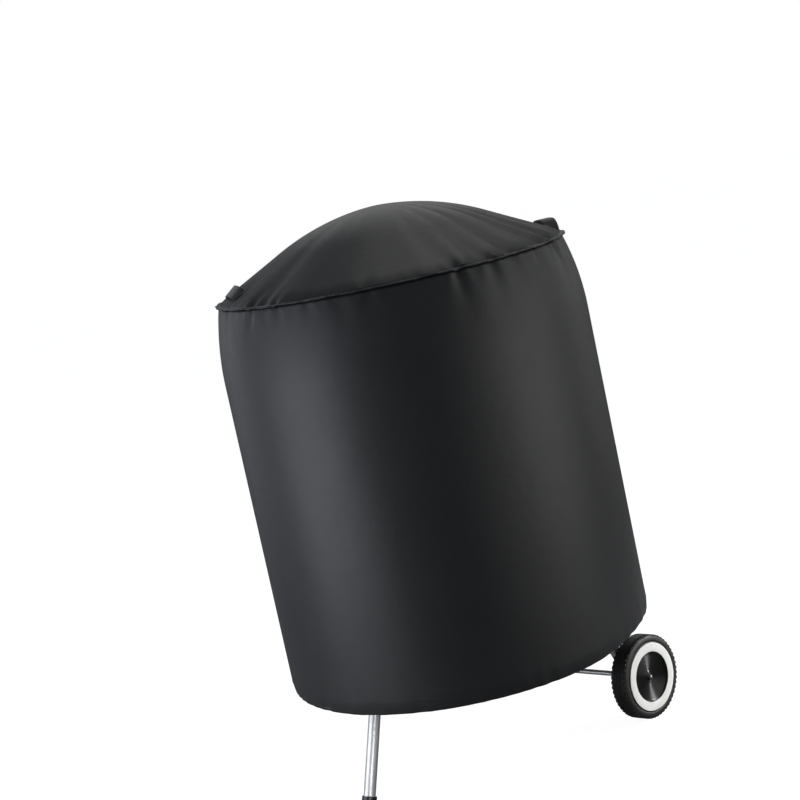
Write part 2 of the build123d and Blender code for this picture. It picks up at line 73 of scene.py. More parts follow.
# %% Sizes read from the frame
panel_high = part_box("side_panel")[1]
hem_low, hem_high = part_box("hem_band")
seam_low, seam_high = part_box("top_seam_binding")
crown_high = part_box("top_panel")[1]
tyre_low, tyre_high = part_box("tyre_right")
band_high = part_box("whitewall_right")[1]
hub_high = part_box("hub_right")[1]
axle_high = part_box("axle")[1]

cover_radius = panel_high[0]
hem_height = hem_low[2]
seam_height = (seam_low[2] + seam_high[2]) / 2
lip_radius = seam_high[0]
seam_radius = lip_radius - 7 * millimetre
apex = crown_high[2]
axle_y = (tyre_low[1] + tyre_high[1]) / 2
wheel_radius = (tyre_high[2] - tyre_low[2]) / 2
print(f"cover {2 * cover_radius:.3f} m across, hem {hem_height:.3f}, seam {seam_height:.3f}, top {apex:.3f}")

# %% [markdown]
# ## Camera
# A long lens far away keeps the cover's sides nearly parallel. The camera is rolled, so that
# the grill seems to lean. It looks at the kettle from between the front leg and the right wheel.

# %% Camera
camera_distance = 3.375
camera_height = 1.160
camera_azimuth = radians(46.3)
camera_pitch = radians(-8.36)
camera_yaw = radians(-0.54)
camera_roll = radians(12.3)
lens = 86.0
sensor = 36.0


def make_camera():
    """Stands the camera on its circle round the kettle, then turns, tips and rolls it."""
    data = bpy.data.cameras.new("camera")
    data.lens = lens
    data.sensor_width = sensor
    made = bpy.data.objects.new("camera", data)
    bpy.context.scene.collection.objects.link(made)
    stand = Vector((sin(camera_azimuth), -cos(camera_azimuth), 0)) * camera_distance
    stand.z = camera_height
    turn = Matrix.Rotation(camera_azimuth - camera_yaw, 4, "Z")
    tip = Matrix.Rotation(pi / 2 + camera_pitch, 4, "X")
    roll = Matrix.Rotation(-camera_roll, 4, "Z")
    made.matrix_world = Matrix.Translation(stand) @ turn @ tip @ roll
    bpy.context.scene.camera = made
    return made


camera = make_camera()
print("camera at", [round(v, 3) for v in camera.matrix_world.translation])

# %% [markdown]
# ## Floor and light
# Black cloth shows its shape only by what it reflects. A pair of tall soft boxes stands on each
# side, one beside the grill and one behind it, so each side of the skirt takes one broad, even
# highlight and the middle stays dark. Two weak ones hang behind and overhead for the dome, and
# two low ones light the stand. Narrow lamps pick out the front leg and the wheel's white band,
# and the one on the wheel pulls the fans of light out of its hub.

# %% Colours and nodes
def hex_to_linear(text):
    """sRGB hex to the linear colour that shaders and lights use."""
    parts = [int(text[i : i + 2], 16) / 255 for i in (0, 2, 4)]
    return [p / 12.92 if p <= 0.04045 else ((p + 0.055) / 1.055) ** 2.4 for p in parts] + [1.0]


def add(tree, kind, inputs=None, **settings):
    """Adds a node, sets its attributes, and fills its inputs with values or other nodes' sockets."""
    made = tree.nodes.new(kind)
    for name, value in settings.items():
        setattr(made, name, value)
    for name, value in (inputs or {}).items():
        if isinstance(value, bpy.types.NodeSocket):
            tree.links.new(value, made.inputs[name])
        else:
            made.inputs[name].default_value = value
    return made


# %% Floor and light
def soft_box(name, azimuth, elevation, distance, size, power, colour="ffffff", aim=(0, 0, 0.6), spread=180):
    """A rectangular area light on a dome round the point it is aimed at; spread narrows its beam."""
    data = bpy.data.lights.new(name, "AREA")
    data.shape = "RECTANGLE"
    data.size, data.size_y = size
    data.energy = power
    data.color = hex_to_linear(colour)[:3]
    made = bpy.data.objects.new(name, data)
    bpy.context.scene.collection.objects.link(made)
    data.spread = radians(spread)
    aim = Vector(aim)
    around = camera_azimuth + radians(azimuth)
    away = Vector((sin(around) * cos(elevation), -cos(around) * cos(elevation), sin(elevation)))
    made.location = aim + away * distance
    made.rotation_euler = (aim - made.location).to_track_quat("-Z", "Y").to_euler()
    made.visible_camera = False
    return made


def make_world(white, ambient):
    """White behind everything that the camera sees, and a dim even light for the rest."""
    world = bpy.data.worlds.new("studio")
    world.use_nodes = True
    tree = world.node_tree
    tree.nodes.clear()
    path = add(tree, "ShaderNodeLightPath")
    fill = add(tree, "ShaderNodeBackground", {"Color": hex_to_linear("f4f6fa"), "Strength": ambient})
    seen = add(tree, "ShaderNodeBackground", {"Color": hex_to_linear("ffffff"), "Strength": white})
    mix = add(
        tree, "ShaderNodeMixShader",
        {0: path.outputs["Is Camera Ray"], 1: fill.outputs[0], 2: seen.outputs[0]},
    )
    add(tree, "ShaderNodeOutputWorld", {"Surface": mix.outputs[0]})
    bpy.context.scene.world = world


def paper_floor():
    """White paper that is evenly lit as the camera sees it, and dim for the light it sends back."""
    material = bpy.data.materials.new("pale studio floor")
    material.use_nodes = True
    tree = material.node_tree
    tree.nodes.clear()
    path = add(tree, "ShaderNodeLightPath")
    paper = add(tree, "ShaderNodeBsdfDiffuse", {"Color": hex_to_linear("f4f4f4")})
    glow = add(tree, "ShaderNodeEmission", {"Color": hex_to_linear("ffffff"), "Strength": 1.56})
    even_light = add(tree, "ShaderNodeMixShader", {0: 0.6, 1: paper.outputs[0], 2: glow.outputs[0]})
    dim = add(tree, "ShaderNodeBsdfDiffuse", {"Color": hex_to_linear("8a8a8a")})
    mix = add(
        tree, "ShaderNodeMixShader",
        {0: path.outputs["Is Camera Ray"], 1: dim.outputs[0], 2: even_light.outputs[0]},
    )
    add(tree, "ShaderNodeOutputMaterial", {"Surface": mix.outputs[0]})
    return material


def make_floor():
    mesh = bpy.data.meshes.new("floor")
    reach = 14.0
    corners = [(-reach, -reach, 0), (reach, -reach, 0), (reach, reach, 0), (-reach, reach, 0)]
    mesh.from_pydata(corners, [], [(0, 1, 2, 3)])
    made = bpy.data.objects.new("floor", mesh)
    bpy.context.scene.collection.objects.link(made)
    mesh.materials.append(paper_floor())
    return made


bpy.context.scene.view_settings.view_transform = "Standard"
make_world(white=1.0, ambient=0.18)
make_floor()
side_box, rim_box = (1.5, 1.5), (1.6, 2.8)
soft_box("left soft box", -64, radians(4), 1.8, side_box, 12.5, "eef3ff")
soft_box("left rim box", -125, radians(14), 3.0, rim_box, 12, "eef3ff")
soft_box("right soft box", 72, radians(6.4), 1.8, side_box, 8)
soft_box("right rim box", 125, radians(14), 3.0, rim_box, 7.5)
soft_box("crown box", 178, radians(32), 3.2, (1.8, 1.0), 5.5)
soft_box("overhead box", 150, radians(66), 2.6, (1.6, 1.4), 6.5)
low_aim, low_box = (0, 0, 0.15), (1.3, 0.4)
soft_box("low left box", -66, radians(8), 1.6, low_box, 3.6, "ffffff", low_aim)
soft_box("low right box", 56, radians(8), 1.6, low_box, 2, "ffffff", low_aim)
wheel_middle = (tyre_high[0], axle_y, wheel_radius)
soft_box("wheel light", 99, radians(25), 1.3, (0.16, 0.3), 0.4, "ffffff", wheel_middle, 22)
leg_middle = (0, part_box("front_foot")[0][1], 0.07)
soft_box("leg light", 14, radians(10), 1.5, (0.1, 0.25), 0.05, "ffffff", leg_middle, 12)

# %% [markdown]
# ## Finishes
# Each material starts from what the real one is made of. Metals keep the default IOR, plastics
# sit near 1.46 to 1.53, and roughness carries most of the difference between them. Patterns are
# measured in millimetres, so a helper turns a size into a texture's scale.

# %% Start of a finish
def new_finish(name):
    """A new material, its node tree and its shader."""
    material = bpy.data.materials.new(name)
    material.use_nodes = True
    return material, material.node_tree, material.node_tree.nodes["Principled BSDF"]


def scale_of(size_mm):
    """Texture scale at which one feature is that many millimetres wide."""
    return 1 / (size_mm * millimetre)


def connect(tree, shader, **sockets):
    """Links sockets to the shader's inputs; an underscore in a name stands for a space."""
    for name, socket in sockets.items():
        tree.links.new(socket, shader.inputs[name.replace("_", " ")])


# %% [markdown]
# ### Coated polyester
# The cover is plain-woven polyester with a polyurethane coat. The coat fills most of the weave,
# so the cloth reads as charcoal with a broad, soft sheen and only a faint grid of threads.
# The real threads are 0.3 mm apart, too fine to show, so they are drawn 1.1 mm apart. The weave
# follows the cloth's own map, which is laid out in metres, so it never slides or stretches.

# %% Coated polyester
thread_spacing = 1.1 * millimetre


def coated_polyester():
    """A broad gloss over near-black cloth; slow patches and fine crinkles keep it from looking dead."""
    material, tree, shader = new_finish("coated polyester, charcoal")
    place = add(tree, "ShaderNodeTexCoord").outputs["Object"]
    patches = add(tree, "ShaderNodeTexNoise", {"Vector": place, "Scale": scale_of(90), "Detail": 3.0})
    crinkle = add(tree, "ShaderNodeTexNoise", {"Vector": place, "Scale": scale_of(14), "Detail": 4.0})
    colour = add(
        tree, "ShaderNodeMix",
        {0: patches.outputs["Fac"], 6: hex_to_linear("1f2021"), 7: hex_to_linear("27282a")}, data_type="RGBA",
    )
    rough = add(tree, "ShaderNodeMapRange", {"Value": crinkle.outputs["Fac"], "To Min": 0.4, "To Max": 0.5})
    cloth_map = add(tree, "ShaderNodeUVMap", uv_map="cloth")
    phase = add(
        tree, "ShaderNodeVectorMath",
        {0: cloth_map.outputs[0], 1: (pi / thread_spacing, pi / thread_spacing, 0)}, operation="MULTIPLY",
    )
    waves = add(tree, "ShaderNodeVectorMath", {0: phase.outputs[0]}, operation="SINE")
    split = add(tree, "ShaderNodeSeparateXYZ", {0: waves.outputs[0]})
    weave = add(tree, "ShaderNodeMath", {0: split.outputs["X"], 1: split.outputs["Y"]}, operation="MULTIPLY")
    soft = add(tree, "ShaderNodeBump", {"Height": crinkle.outputs["Fac"], "Distance": 0.25 * millimetre})
    fine = add(
        tree, "ShaderNodeBump",
        {"Height": weave.outputs[0], "Distance": 0.04 * millimetre, "Normal": soft.outputs[0]},
    )
    connect(tree, shader, Base_Color=colour.outputs[2], Roughness=rough.outputs[0], Normal=fine.outputs[0])
    shader.inputs["IOR"].default_value = 1.5
    shader.inputs["Sheen Weight"].default_value = 0.03
    shader.inputs["Sheen Roughness"].default_value = 0.4
    return material


# %% [markdown]
# ### Webbing, tape, thread and elastic
# The grab handles are woven polyester strap, with ribs across it that are coarser than the
# cover's weave and no coat, so it is duller. Tape and covered elastic are the same yarn, finer.

# %% Woven narrow goods
def woven_strap(name, dark, light, rib_mm, rough):
    """Ribs across the strap and along it, on the strap's own map in metres."""
    material, tree, shader = new_finish(name)
    cloth_map = add(tree, "ShaderNodeUVMap", uv_map="cloth")
    place = add(tree, "ShaderNodeTexCoord").outputs["Object"]
    fuzz = add(tree, "ShaderNodeTexNoise", {"Vector": place, "Scale": scale_of(3), "Detail": 5.0})
    spacing = rib_mm * millimetre
    phase = add(
        tree, "ShaderNodeVectorMath",
        {0: cloth_map.outputs[0], 1: (pi / spacing, pi / spacing, 0)}, operation="MULTIPLY",
    )
    waves = add(tree, "ShaderNodeVectorMath", {0: phase.outputs[0]}, operation="SINE")
    split = add(tree, "ShaderNodeSeparateXYZ", {0: waves.outputs[0]})
    ribs = add(tree, "ShaderNodeMath", {0: split.outputs["X"], 1: split.outputs["Y"]}, operation="MULTIPLY")
    colour = add(
        tree, "ShaderNodeMix",
        {0: fuzz.outputs["Fac"], 6: hex_to_linear(dark), 7: hex_to_linear(light)}, data_type="RGBA",
    )
    sheen = add(
        tree, "ShaderNodeMapRange",
        {"Value": fuzz.outputs["Fac"], "To Min": rough - 0.06, "To Max": rough + 0.06},
    )
    relief = add(tree, "ShaderNodeBump", {"Height": ribs.outputs[0], "Distance": 0.2 * millimetre})
    connect(tree, shader, Base_Color=colour.outputs[2], Roughness=sheen.outputs[0], Normal=relief.outputs[0])
    shader.inputs["IOR"].default_value = 1.5
    shader.inputs["Sheen Weight"].default_value = 0.3
    return material


def sewing_thread():
    """Twisted bonded nylon: a fine slant of plies and a little more gloss than the cloth."""
    material, tree, shader = new_finish("bonded nylon thread, charcoal")
    place = add(tree, "ShaderNodeTexCoord").outputs["Object"]
    plies = add(
        tree, "ShaderNodeTexWave",
        {"Vector": place, "Scale": scale_of(7), "Distortion": 1.0}, bands_direction="DIAGONAL",
    )
    relief = add(tree, "ShaderNodeBump", {"Height": plies.outputs["Fac"], "Distance": 0.08 * millimetre})
    colour = add(
        tree, "ShaderNodeMix",
        {0: plies.outputs["Fac"], 6: hex_to_linear("1e1f20"), 7: hex_to_linear("2b2c2e")}, data_type="RGBA",
    )
    connect(tree, shader, Base_Color=colour.outputs[2], Normal=relief.outputs[0])
    shader.inputs["Roughness"].default_value = 0.45
    shader.inputs["IOR"].default_value = 1.53
    return material


# %% [markdown]
# ### Rubber, vinyl and the hub
# The wheel has three finishes: soft black rubber with dust in it, a white vinyl band, and a hub
# moulded in gloss black. Fine turned rings on the hub pull each reflection into a fan. They are
# too fine to draw, so the shader's anisotropy does it, along the hub's own map.

# %% Wheel finishes
def moulded_plastic(name, dark, light, rough, grain_mm=0.9, relief_mm=0.05, ior=1.5):
    """A moulded surface: fine grain from the tool, and dust that changes its sheen in patches."""
    material, tree, shader = new_finish(name)
    place = add(tree, "ShaderNodeTexCoord").outputs["Object"]
    patches = add(tree, "ShaderNodeTexNoise", {"Vector": place, "Scale": scale_of(16), "Detail": 5.0})
    grain = add(tree, "ShaderNodeTexNoise", {"Vector": place, "Scale": scale_of(grain_mm), "Detail": 2.0})
    colour = add(
        tree, "ShaderNodeMix",
        {0: patches.outputs["Fac"], 6: hex_to_linear(dark), 7: hex_to_linear(light)}, data_type="RGBA",
    )
    sheen = add(
        tree, "ShaderNodeMapRange",
        {"Value": patches.outputs["Fac"], "To Min": rough - 0.08, "To Max": rough + 0.08},
    )
    relief = add(tree, "ShaderNodeBump", {"Height": grain.outputs["Fac"], "Distance": relief_mm * millimetre})
    connect(tree, shader, Base_Color=colour.outputs[2], Roughness=sheen.outputs[0], Normal=relief.outputs[0])
    shader.inputs["IOR"].default_value = ior
    return material


def turned_hub():
    """Gloss ABS whose turned rings stretch each reflection across them."""
    material, tree, shader = new_finish("gloss ABS with turned rings")
    place = add(tree, "ShaderNodeTexCoord").outputs["Object"]
    specks = add(tree, "ShaderNodeTexNoise", {"Vector": place, "Scale": scale_of(5), "Detail": 4.0})
    sheen = add(tree, "ShaderNodeMapRange", {"Value": specks.outputs["Fac"], "To Min": 0.38, "To Max": 0.48})
    rings = add(tree, "ShaderNodeTangent", direction_type="UV_MAP", uv_map="cloth")
    connect(tree, shader, Roughness=sheen.outputs[0], Tangent=rings.outputs[0])
    shader.inputs["Base Color"].default_value = hex_to_linear("030304")
    shader.inputs["IOR"].default_value = 1.53
    shader.inputs["Anisotropic"].default_value = 0.95
    shader.inputs["Anisotropic Rotation"].default_value = 0.25
    return material


# %% [markdown]
# ### Metals and enamel
# The legs and the ash pan are aluminium, with faint lines where they were drawn or spun. Small
# fittings are zinc-plated steel and the racks are plated wire. The kettle is steel under
# porcelain enamel, which is glass, so it is wet and deep with a little orange peel.

# %% Metal and enamel
def bare_metal(name, dark, light, rough, line_mm=3.0, stretch=(1, 1, 1)):
    """Metal whose brightness and roughness wander; stretch pulls its fine lines along an axis."""
    material, tree, shader = new_finish(name)
    place = add(tree, "ShaderNodeTexCoord").outputs["Object"]
    drawn = add(tree, "ShaderNodeMapping", {"Vector": place, "Scale": stretch})
    patches = add(tree, "ShaderNodeTexNoise", {"Vector": place, "Scale": scale_of(25), "Detail": 4.0})
    lines = add(
        tree, "ShaderNodeTexNoise", {"Vector": drawn.outputs[0], "Scale": scale_of(line_mm), "Detail": 3.0}
    )
    colour = add(
        tree, "ShaderNodeMix",
        {0: patches.outputs["Fac"], 6: hex_to_linear(dark), 7: hex_to_linear(light)}, data_type="RGBA",
    )
    sheen = add(
        tree, "ShaderNodeMapRange",
        {"Value": lines.outputs["Fac"], "To Min": rough - 0.07, "To Max": rough + 0.09},
    )
    relief = add(tree, "ShaderNodeBump", {"Height": lines.outputs["Fac"], "Distance": 0.03 * millimetre})
    connect(tree, shader, Base_Color=colour.outputs[2], Roughness=sheen.outputs[0], Normal=relief.outputs[0])
    shader.inputs["Metallic"].default_value = 1.0
    return material


def porcelain_enamel():
    """Fused glass on steel: deep black gloss with orange peel 6 mm across and a fine spatter."""
    material, tree, shader = new_finish("porcelain enamel, black")
    place = add(tree, "ShaderNodeTexCoord").outputs["Object"]
    peel = add(tree, "ShaderNodeTexNoise", {"Vector": place, "Scale": scale_of(6), "Detail": 2.0})
    spatter = add(tree, "ShaderNodeTexNoise", {"Vector": place, "Scale": scale_of(28), "Detail": 6.0})
    colour = add(
        tree, "ShaderNodeMix",
        {0: spatter.outputs["Fac"], 6: hex_to_linear("060607"), 7: hex_to_linear("0e0e10")}, data_type="RGBA",
    )
    sheen = add(tree, "ShaderNodeMapRange", {"Value": spatter.outputs["Fac"], "To Min": 0.06, "To Max": 0.2})
    relief = add(tree, "ShaderNodeBump", {"Height": peel.outputs["Fac"], "Distance": 0.05 * millimetre})
    connect(tree, shader, Base_Color=colour.outputs[2], Roughness=sheen.outputs[0], Normal=relief.outputs[0])
    shader.inputs["IOR"].default_value = 1.52
    shader.inputs["Coat Weight"].default_value = 0.5
    shader.inputs["Coat Roughness"].default_value = 0.05
    return material


# %% One finish for each slot
finishes = {
    "cover_cloth": coated_polyester(),
    "webbing": woven_strap("polyester webbing, black", "1a1a1b", "262627", 2.0, 0.6),
    "seam_tape": woven_strap("polyester tape, charcoal", "202021", "2c2c2e", 1.4, 0.55),
    "elastic": woven_strap("covered elastic, charcoal", "242425", "323234", 1.0, 0.62),
    "tyre_rubber": moulded_plastic("moulded tyre rubber", "080809", "101011", 0.6, 1.4, 0.1, 1.52),
    "white_band": moulded_plastic("white vinyl band", "d6d6d3", "e6e6e3", 0.4, 1.2, 0.02, 1.46),
    "hub_plastic": turned_hub(),
    "black_enamel": porcelain_enamel(),
    "handle_plastic": moulded_plastic("glass-filled nylon, black", "101011", "1a1a1b", 0.42),
    "foot_plastic": moulded_plastic("polypropylene cap, black", "0d0d0e", "171718", 0.36, ior=1.49),
    "plain_steel": bare_metal("zinc-plated steel", "c2c3c4", "dadbdc", 0.42),
    "satin_aluminium": bare_metal("drawn aluminium", "c4c6c8", "dadbdc", 0.46, 2.5, (4, 4, 0.15)),
    "plated_wire": bare_metal("nickel-plated wire", "a9a7a2", "c6c4bf", 0.22),
    "blackened_steel": bare_metal("blackened spring steel", "1b1b1c", "2a2a2b", 0.42),
}
thread_finish = sewing_thread()
print("finishes:", len(finishes) + 1)

# %% [markdown]
# ## Pieces from grids
# Cloth, and everything turned on a lathe, is a grid: rows along a profile and columns once
# round. One helper turns such a grid into a mesh with a map in metres, and another puts a mesh
# in the scene with the finish and the body of the CAD node that it stands for.

# %% Grids and pieces
body_of = {node: body for body, nodes in frame["record"]["behaviour"]["bodies"].items() for node in nodes}
slot_of = {part["node"]: part["material_slot"] for part in frame["record"]["subparts"]}


def new_piece(name, mesh, node, replaces=(), finish=None, smooth=True):
    """Puts a mesh in the scene, riding with the CAD node it belongs to."""
    made = bpy.data.objects.new(name, mesh)
    bpy.context.scene.collection.objects.link(made)
    if smooth:
        mesh.polygons.foreach_set("use_smooth", [True] * len(mesh.polygons))
    mesh.materials.clear()
    mesh.materials.append(finish or finishes[slot_of[node]])
    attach(made, body_of[node])
    if replaces:
        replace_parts(made, *replaces)
    return made


def grid_mesh(name, points, flat, loop_rows=False, flip=False):
    """Quads over points[row, column]; columns close on themselves, and rows do if loop_rows is set.

    flat is the map, with one more column than points, and one more row if the rows close.
    """
    rows, columns = points.shape[:2]
    row = np.arange(rows if loop_rows else rows - 1)[:, None]
    column = np.arange(columns)[None, :]
    below, beside = (row + 1) % rows, (column + 1) % columns
    here, under = row * columns, below * columns
    corners = [here + column, under + column, under + beside, here + beside]
    maps = [flat[:-1, :-1], flat[1:, :-1], flat[1:, 1:], flat[:-1, 1:]]
    if flip:
        corners, maps = corners[::-1], maps[::-1]
    faces = np.stack([np.broadcast_to(c, (len(row), columns)) for c in corners], axis=-1).reshape(-1, 4)
    mesh = bpy.data.meshes.new(name)
    mesh.from_pydata(points.reshape(-1, 3).tolist(), [], faces.tolist())
    mesh.uv_layers.new(name="cloth").data.foreach_set("uv", np.stack(maps, axis=2).reshape(-1))
    return mesh


def close_and_face_out(mesh):
    """Fills open ends and turns every face outwards."""
    edit = bmesh.new()
    edit.from_mesh(mesh)
    bmesh.ops.holes_fill(edit, edges=[e for e in edit.edges if e.is_boundary])
    bmesh.ops.recalc_face_normals(edit, faces=edit.faces)
    edit.to_mesh(mesh)
    edit.free()


def round_about_z(radius, height, angle):
    """Points at a radius and height for each angle; the arrays broadcast together."""
    radius, height, angle = np.broadcast_arrays(radius, height, angle)
    return np.stack([radius * np.cos(angle), radius * np.sin(angle), height], axis=-1)


def lengths_along(outline):
    """Distance from the start of an outline of points to each of them."""
    steps = np.linalg.norm(np.diff(outline, axis=0), axis=1)
    return np.concatenate([[0], np.cumsum(steps)])


def even(outline, count):
    """An outline resampled to points an equal distance apart."""
    run = lengths_along(outline)
    share = np.linspace(0, run[-1], count)
    return np.stack([np.interp(share, run, outline[:, k]) for k in range(outline.shape[1])], axis=-1)


# %% [markdown]
# ## How the cloth gathers
# The top panel's edge is a little longer than the seam it is sewn into, so it puckers into short
# creases on both sides of the seam, and the elastic does the same to the hem. A gather is a
# valley with a ridge on each side. Each has its own place, width, depth and length, from a
# seeded generator, with a few listed where the cloth pulls hardest.

# %% Gathers
front = camera_azimuth - pi / 2


def gather_set(count, seed, width_mm, depth_mm, length_mm, placed=()):
    """Rows of angle, width, depth and length. Placed ones give degrees from the front and millimetres."""
    chance = np.random.default_rng(seed)
    angles = (np.arange(count) + chance.uniform(-0.4, 0.4, count)) * tau / count
    widths = chance.uniform(*width_mm, count) * millimetre
    depths = chance.uniform(*depth_mm, count) * millimetre * chance.choice([0.4, 1.0], count)
    lengths = chance.uniform(*length_mm, count) * millimetre
    by_hand = np.array(placed, float).reshape(-1, 4)
    by_hand[:, 0] = front + np.radians(by_hand[:, 0])
    by_hand[:, 1:] *= millimetre
    return np.vstack([np.stack([angles, widths, depths, lengths], axis=1), by_hand])


def valleys(gathers, angle, away, spread=0.0):
    """Depth at each angle and distance from the root; spread widens a valley as it runs out."""
    total = np.zeros(np.broadcast(angle, away).shape)
    for place, width, depth, length in gathers:
        turn = (angle - place + pi) % tau - pi
        across = np.abs(turn) * seam_radius / (width * (1 + spread * away / length))
        crease = np.exp(-0.5 * across**2) - 0.4 * np.exp(-0.5 * (across - 2.3) ** 2)
        total += depth * crease * np.exp(-away / length)
    return total


seam_gathers = gather_set(
    46, 11, (4, 7), (0.5, 1.6), (10, 30),
    placed=[(-84, 6, 4, 40), (-68, 7, 2.5, 45), (-52, 4.5, 6, 22), (-46, 6, 2.5, 45), (-40, 4, 4.5, 16),
            (-28, 5, 2, 20), (-19, 4, 2, 12), (-8, 6, 2.2, 26), (8, 7, 1.5, 40), (20, 5, 5, 30),
            (32, 5.5, 4.5, 30), (41, 7, 2.5, 30), (52, 6, 2.5, 26), (65, 5, 6, 30), (76, 7, 3, 40)],
)
hem_gathers = gather_set(70, 23, (4, 8), (0.4, 1.8), (12, 34))
crown_folds = gather_set(
    16, 5, (12, 20), (0.4, 1.2), (50, 100),
    placed=[(-80, 12, 2.0, 50), (-48, 20, 3.0, 110), (-24, 24, 3.2, 120), (2, 20, 1.4, 70), (16, 14, 3.0, 100),
            (29, 10, 3.4, 100), (42, 12, 4.6, 150), (56, 10, 3.8, 120), (66, 11, 4.4, 140), (81, 14, 3.0, 70)],
)
print("gathers:", len(seam_gathers), "at the seam,", len(hem_gathers), "at the hem; folds:", len(crown_folds))

# %% [markdown]
# ## Side panel and hem
# The side panel hangs straight down from the kettle's width and draws in over its top fifth.
# Its lower edge is turned up inside and sewn, which makes the tunnel for the elastic. It is one
# piece of cloth, so it is one grid: down the outside, round the fold and up again inside.
# Solidify then gives it its thickness.

# %% Side panel
cloth_thickness = 0.9 * millimetre
columns = 420
around = np.linspace(0, tau, columns, endpoint=False)[None, :]
around_closed = np.linspace(0, tau, columns + 1)[None, :]
shoulder_drop = 0.137
shoulder_in = cover_radius - seam_radius
shoulder_arc = (shoulder_drop**2 + shoulder_in**2) / (2 * shoulder_in)
hem_draw = 3 * millimetre
hem_depth = hem_high[2] - hem_low[2]
tunnel = 4.2 * millimetre


def skirt_radius(height):
    """The side's radius at a height, before it gathers and waves."""
    above = np.maximum(height - (seam_height - shoulder_drop), 0)
    drawn_in = shoulder_arc - np.sqrt(shoulder_arc**2 - above**2)
    below = np.clip((hem_high[2] - height) / hem_depth, 0, 1)
    return cover_radius - drawn_in - hem_draw * below**1.5


def skirt_offset(angle, height):
    """How far the cloth leaves that radius: slow waves, and gathers at both ends."""
    down, up = np.maximum(seam_height - height, 0), np.maximum(height - hem_height, 0)
    slack = 0.3 + 0.7 * np.clip(down / 0.25, 0, 1)
    waves = 0.9 * np.cos(3 * angle + 0.6 + 1.5 * height) + 0.7 * np.cos(5 * angle - 1.1 + 2.2 * height)
    waves += 0.45 * np.cos(9 * angle + 2.0 - 3.5 * height) + 0.25 * np.cos(14 * angle + 0.4 + 5 * height)
    pulled = valleys(seam_gathers, angle, down, 0.6) + valleys(hem_gathers, angle, up, 0.6)
    return waves * slack * millimetre - pulled


def hem_lift(angle):
    """How far the hem rides up where it passes over a wheel, and hangs lower in front."""
    over = [np.exp(-((((angle - radians(a) + pi) % tau - pi) / radians(26)) ** 2)) for a in (28, 152)]
    return (17 * over[0] + 12 * over[1] - 3 + 3 * np.sin(angle)) * millimetre


def side_outline():
    """Heights and set-backs down the outside, round the fold and up the inside, as an outline."""
    share = np.linspace(0, 1, 80)
    eased = 0.45 * (0.5 - 0.5 * np.cos(pi * share)) + 0.55 * share
    top = seam_height - 1.2 * millimetre
    low = hem_height + 2.6 * millimetre
    outside = np.stack([np.zeros(80), top + (low - top) * eased], axis=-1)
    fold = np.linspace(0, pi, 9)[1:-1]
    half = tunnel / 2
    bottom = np.stack([half - half * np.cos(fold), low - 1.9 * millimetre * np.sin(fold)], axis=-1)
    inside = np.stack([
        np.array([1, 1.04, 1.04, 1, 0.75, 0.28]) * tunnel,
        low + np.array([0, 0.2, 0.5, 0.72, 0.88, 0.97]) * (hem_high[2] - low),
    ], axis=-1)
    return np.vstack([outside, bottom, inside])


outline = side_outline()
set_back, heights = outline[:, :1], outline[:, 1:]
low_share = np.clip(1 - (heights - hem_height) / 0.2, 0, 1)
lifted = heights + hem_lift(around) * low_share * low_share * (3 - 2 * low_share)
side_points = round_about_z(skirt_radius(heights) + skirt_offset(around, heights) - set_back, lifted, around)
side_down = lengths_along(outline)[:, None]
side_flat = np.stack(np.broadcast_arrays(around_closed * cover_radius, side_down), axis=-1)
side_mesh = grid_mesh("side_panel_cloth", side_points, side_flat)
side_panel = new_piece("side_panel_cloth", side_mesh, "side_panel", ["side_panel", "hem_band"])
thicken = side_panel.modifiers.new("cloth thickness", "SOLIDIFY")
thicken.thickness = cloth_thickness

# %% [markdown]
# ## Top panel
# A disc of cloth lies over the lid's handle, falls to the seam, and turns down into it round a
# small radius. Its outline is an arc, a straight flank and a second arc, which the helper joins
# by their common tangent. Folds run up from the seam towards the crown and fade on the way.

# %% Top panel
crown_radius, edge_radius, edge_slope = 0.402, 0.120, radians(42)


def dome_outline():
    """Radius and height from the crown to the seam."""
    crown = np.array([0, apex - crown_radius])
    edge = np.array([seam_radius - edge_radius * sin(edge_slope), seam_height - edge_radius * cos(edge_slope)])
    between = edge - crown
    lean = atan2(between[1], between[0]) + acos((crown_radius - edge_radius) / np.hypot(*between))
    high = np.linspace(pi / 2, lean, 60)[:, None]
    low = np.linspace(lean, pi / 2 - edge_slope, 20)[:, None]
    upper = crown + crown_radius * np.hstack([np.cos(high), np.sin(high)])
    lower = edge + edge_radius * np.hstack([np.cos(low), np.sin(low)])
    return np.vstack([upper, lower])


dome_fine = dome_outline()
dome_rows = even(dome_fine, 74)
dome_run = lengths_along(dome_rows)[:, None]
dome_length = float(dome_run[-1, 0])
strap_angles = np.radians([61, 241])


def near_strap(angle):
    """Nearly 1 beside a grab handle, whose stitching holds the cloth flat, and 0 elsewhere."""
    turns = (np.asarray(angle)[..., None] - strap_angles + pi) % tau - pi
    return np.exp(-((turns / radians(9)) ** 4)).max(axis=-1)


def dome_drop(angle, run):
    """How far the cloth sinks below the outline: folds from the seam and a soft sag round the crown."""
    away = dome_length - run
    folds = valleys(crown_folds, angle, away) + 0.8 * valleys(seam_gathers, angle, away, 0.6)
    middle = np.clip(run / (0.45 * dome_length), 0, 1) ** 1.5
    sag = 1.2 * millimetre * (1 - np.cos(2 * angle + 1.0)) * np.sin(pi * np.clip(run / dome_length, 0, 1))
    return folds * middle * (1 - 0.85 * near_strap(angle)) + sag


def outline_normal(outline):
    """Outward normals of an outline that runs from the axis outwards and down."""
    step = np.gradient(outline, axis=0)
    normal = np.stack([-step[:, 1], step[:, 0]], axis=-1)
    return normal / np.linalg.norm(normal, axis=1, keepdims=True)


